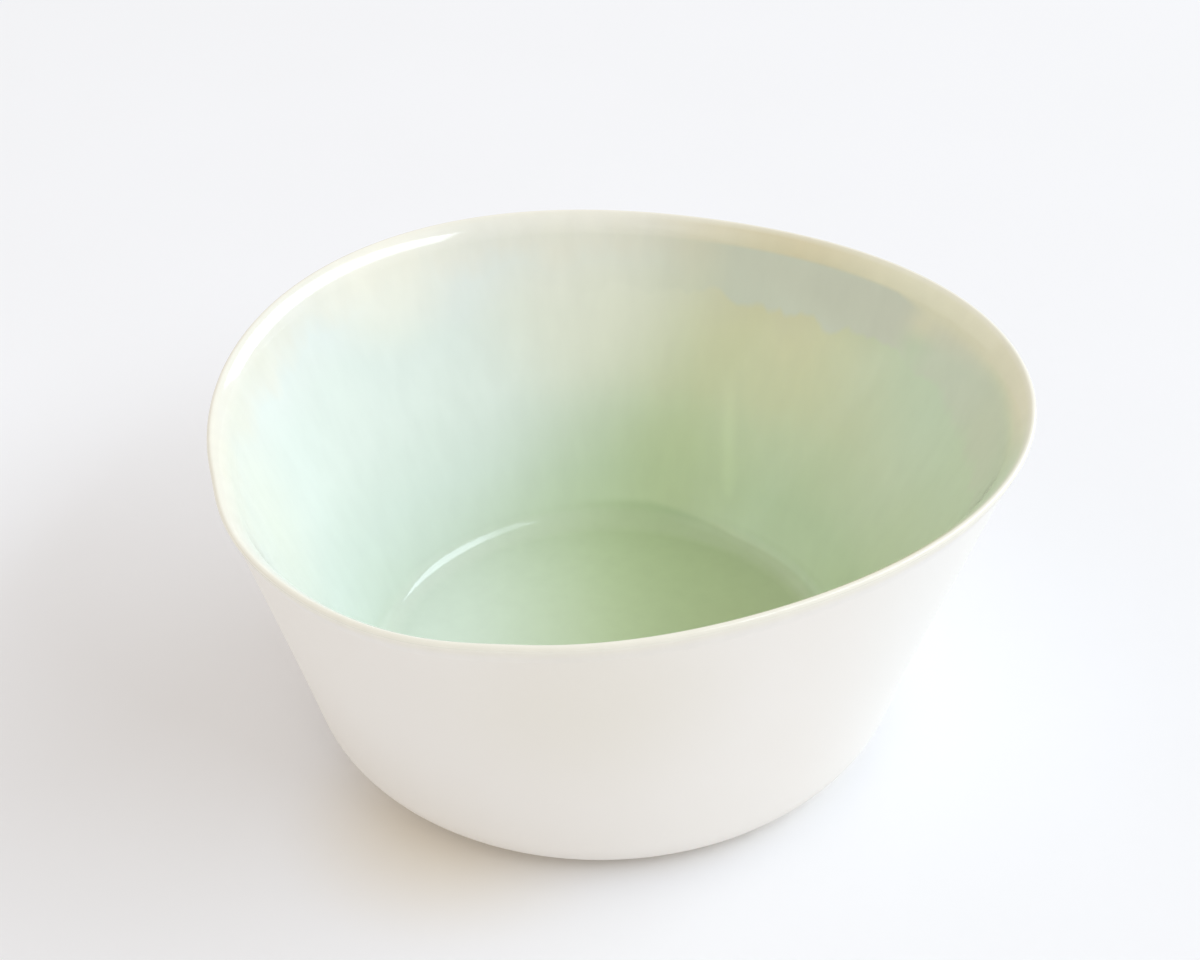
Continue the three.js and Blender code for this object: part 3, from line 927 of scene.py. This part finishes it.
board = blank_finish("pale_board_matt_painted")
tree = board.node_tree
place = add(tree, "ShaderNodeTexCoord").outputs["Object"]
drift = {"Vector": place, "Scale": 1 / BOARD_DRIFT, "Detail": 2.0}
drift = add(tree, "ShaderNodeTexNoise", drift).outputs[0]
whites = {0: drift, 6: hex_colour(BOARD_WHITES[0]), 7: hex_colour(BOARD_WHITES[1])}
colour = add(tree, "ShaderNodeMix", whites, data_type="RGBA").outputs[2]
foot_middle = (axis_x, 0.0, 0.0)
for middle, start, end, code in (
    (GLOW_PLACE, TINT_CORE, GLOW_REACH, GLOW),
    (foot_middle, foot_radius, foot_radius + RING_WIDTH, RING),
):
    near = add(tree, "ShaderNodeVectorMath", {0: place, 1: middle}, operation="DISTANCE").outputs[1]
    span = {"Value": near, "From Min": start, "From Max": end, "To Min": 1.0, "To Max": 0.0}
    tint = add(tree, "ShaderNodeMapRange", span, interpolation_type="SMOOTHSTEP").outputs[0]
    tinted = {0: tint, 6: colour, 7: hex_colour(code)}
    colour = add(tree, "ShaderNodeMix", tinted, data_type="RGBA").outputs[2]
paint = {"Base Color": colour, "Roughness": 0.9, "Specular IOR Level": 0.1}
paint = add(tree, "ShaderNodeBsdfPrincipled", paint).outputs[0]
add(tree, "ShaderNodeOutputMaterial", {"Surface": paint})
floor_mesh.materials.append(board)
print(board.name, "has", len(tree.nodes), "nodes")

# %% [markdown]
# Light.
# One wide soft lamp stands to the right, about 37 degrees up, a little cool, as a long window would. It is
# rolled, so its near end is higher and its reflection follows the lip. On the left a weak lamp stands in
# for a pale wall. The world fills the shadows with a warmer light.


# %% A soft lamp that faces the bowl
def toward(azimuth, elevation, distance):
    a = math.radians(azimuth)
    e = math.radians(elevation)
    return Vector((math.cos(a) * math.cos(e), math.sin(a) * math.cos(e), math.sin(e))) * distance


def soft_lamp(name, width, height, watts, place, roll=0.0):
    light = bpy.data.lights.new(name, "AREA")
    light.shape = "RECTANGLE"
    light.size = width
    light.size_y = height
    light.energy = watts
    lamp = bpy.data.objects.new(name, light)
    lamp.location = place
    facing = (-place).to_track_quat("-Z", "Y")
    lamp.rotation_euler = (facing @ Quaternion((0, 0, 1), roll)).to_euler()
    bpy.context.scene.collection.objects.link(lamp)
    print(name, "gives", watts, "watts")
    return light


# %% Window, pale wall and world
WINDOW_TINT = (0.77, 0.885, 1.0)
WINDOW_ROLL = math.radians(-22)
ROOM_TINT = (1.0, 0.95, 0.905, 1.0)
ROOM_STRENGTH = 0.71

window_place = toward(azimuth=2, elevation=37, distance=3.6)
window = soft_lamp("soft_window", width=7.1, height=1.35, watts=122, place=window_place, roll=WINDOW_ROLL)
window.color = WINDOW_TINT
wall_place = toward(azimuth=188, elevation=38, distance=2.4)
soft_lamp("pale_wall", width=4.5, height=1.8, watts=8, place=wall_place)
world = bpy.data.worlds.new("soft_room")
bpy.context.scene.world = world
world.use_nodes = True
tree = world.node_tree
tree.nodes.clear()
fill = add(tree, "ShaderNodeBackground", {"Color": ROOM_TINT, "Strength": ROOM_STRENGTH}).outputs[0]
add(tree, "ShaderNodeOutputWorld", {"Surface": fill})

# %% [markdown]
# Camera.
# The view was fitted to the outline of the rim, wall and foot: about 36 degrees above the table, half a
# metre away, with a long lens and a slight tilt of the hand. The lens follows from the fitted focal length,
# which came in pixels of the photograph.

# %% Camera at the photograph's angle
PHOTO_WIDTH = 1200  # pixels
FOCAL_LENGTH = 2817.0  # pixels
SENSOR_WIDTH = 36.0  # millimetres, as the camera's own settings are
elevation = math.radians(36.363)
azimuth = math.radians(-3.041)
roll = math.radians(1.565)
distance = 0.5
aim_aside = -0.15 * MM
aim_height = 47.2 * MM
across = Vector((math.cos(azimuth), math.sin(azimuth), 0))
ahead = Vector((-math.sin(azimuth), math.cos(azimuth), 0))
behind = -ahead * math.cos(elevation) + Vector((0, 0, math.sin(elevation)))
upward = ahead * math.sin(elevation) + Vector((0, 0, math.cos(elevation)))
aim = across * aim_aside + Vector((axis_x, 0, aim_height))
eye = aim + behind * distance
side = across * math.cos(roll) - upward * math.sin(roll)
top = across * math.sin(roll) + upward * math.cos(roll)
camera_data = bpy.data.cameras.new("photo_camera")
camera_data.sensor_fit = "HORIZONTAL"
camera_data.sensor_width = SENSOR_WIDTH
camera_data.lens = FOCAL_LENGTH / PHOTO_WIDTH * SENSOR_WIDTH
camera_data.clip_start = 10 * MM
camera = bpy.data.objects.new("photo_camera", camera_data)
camera.matrix_world = Matrix.Translation(eye) @ Matrix((side, top, behind)).transposed().to_4x4()
bpy.context.scene.collection.objects.link(camera)
bpy.context.scene.camera = camera
bpy.context.scene.view_settings.view_transform = "Standard"
print("lens", round(camera_data.lens, 1), "mm")
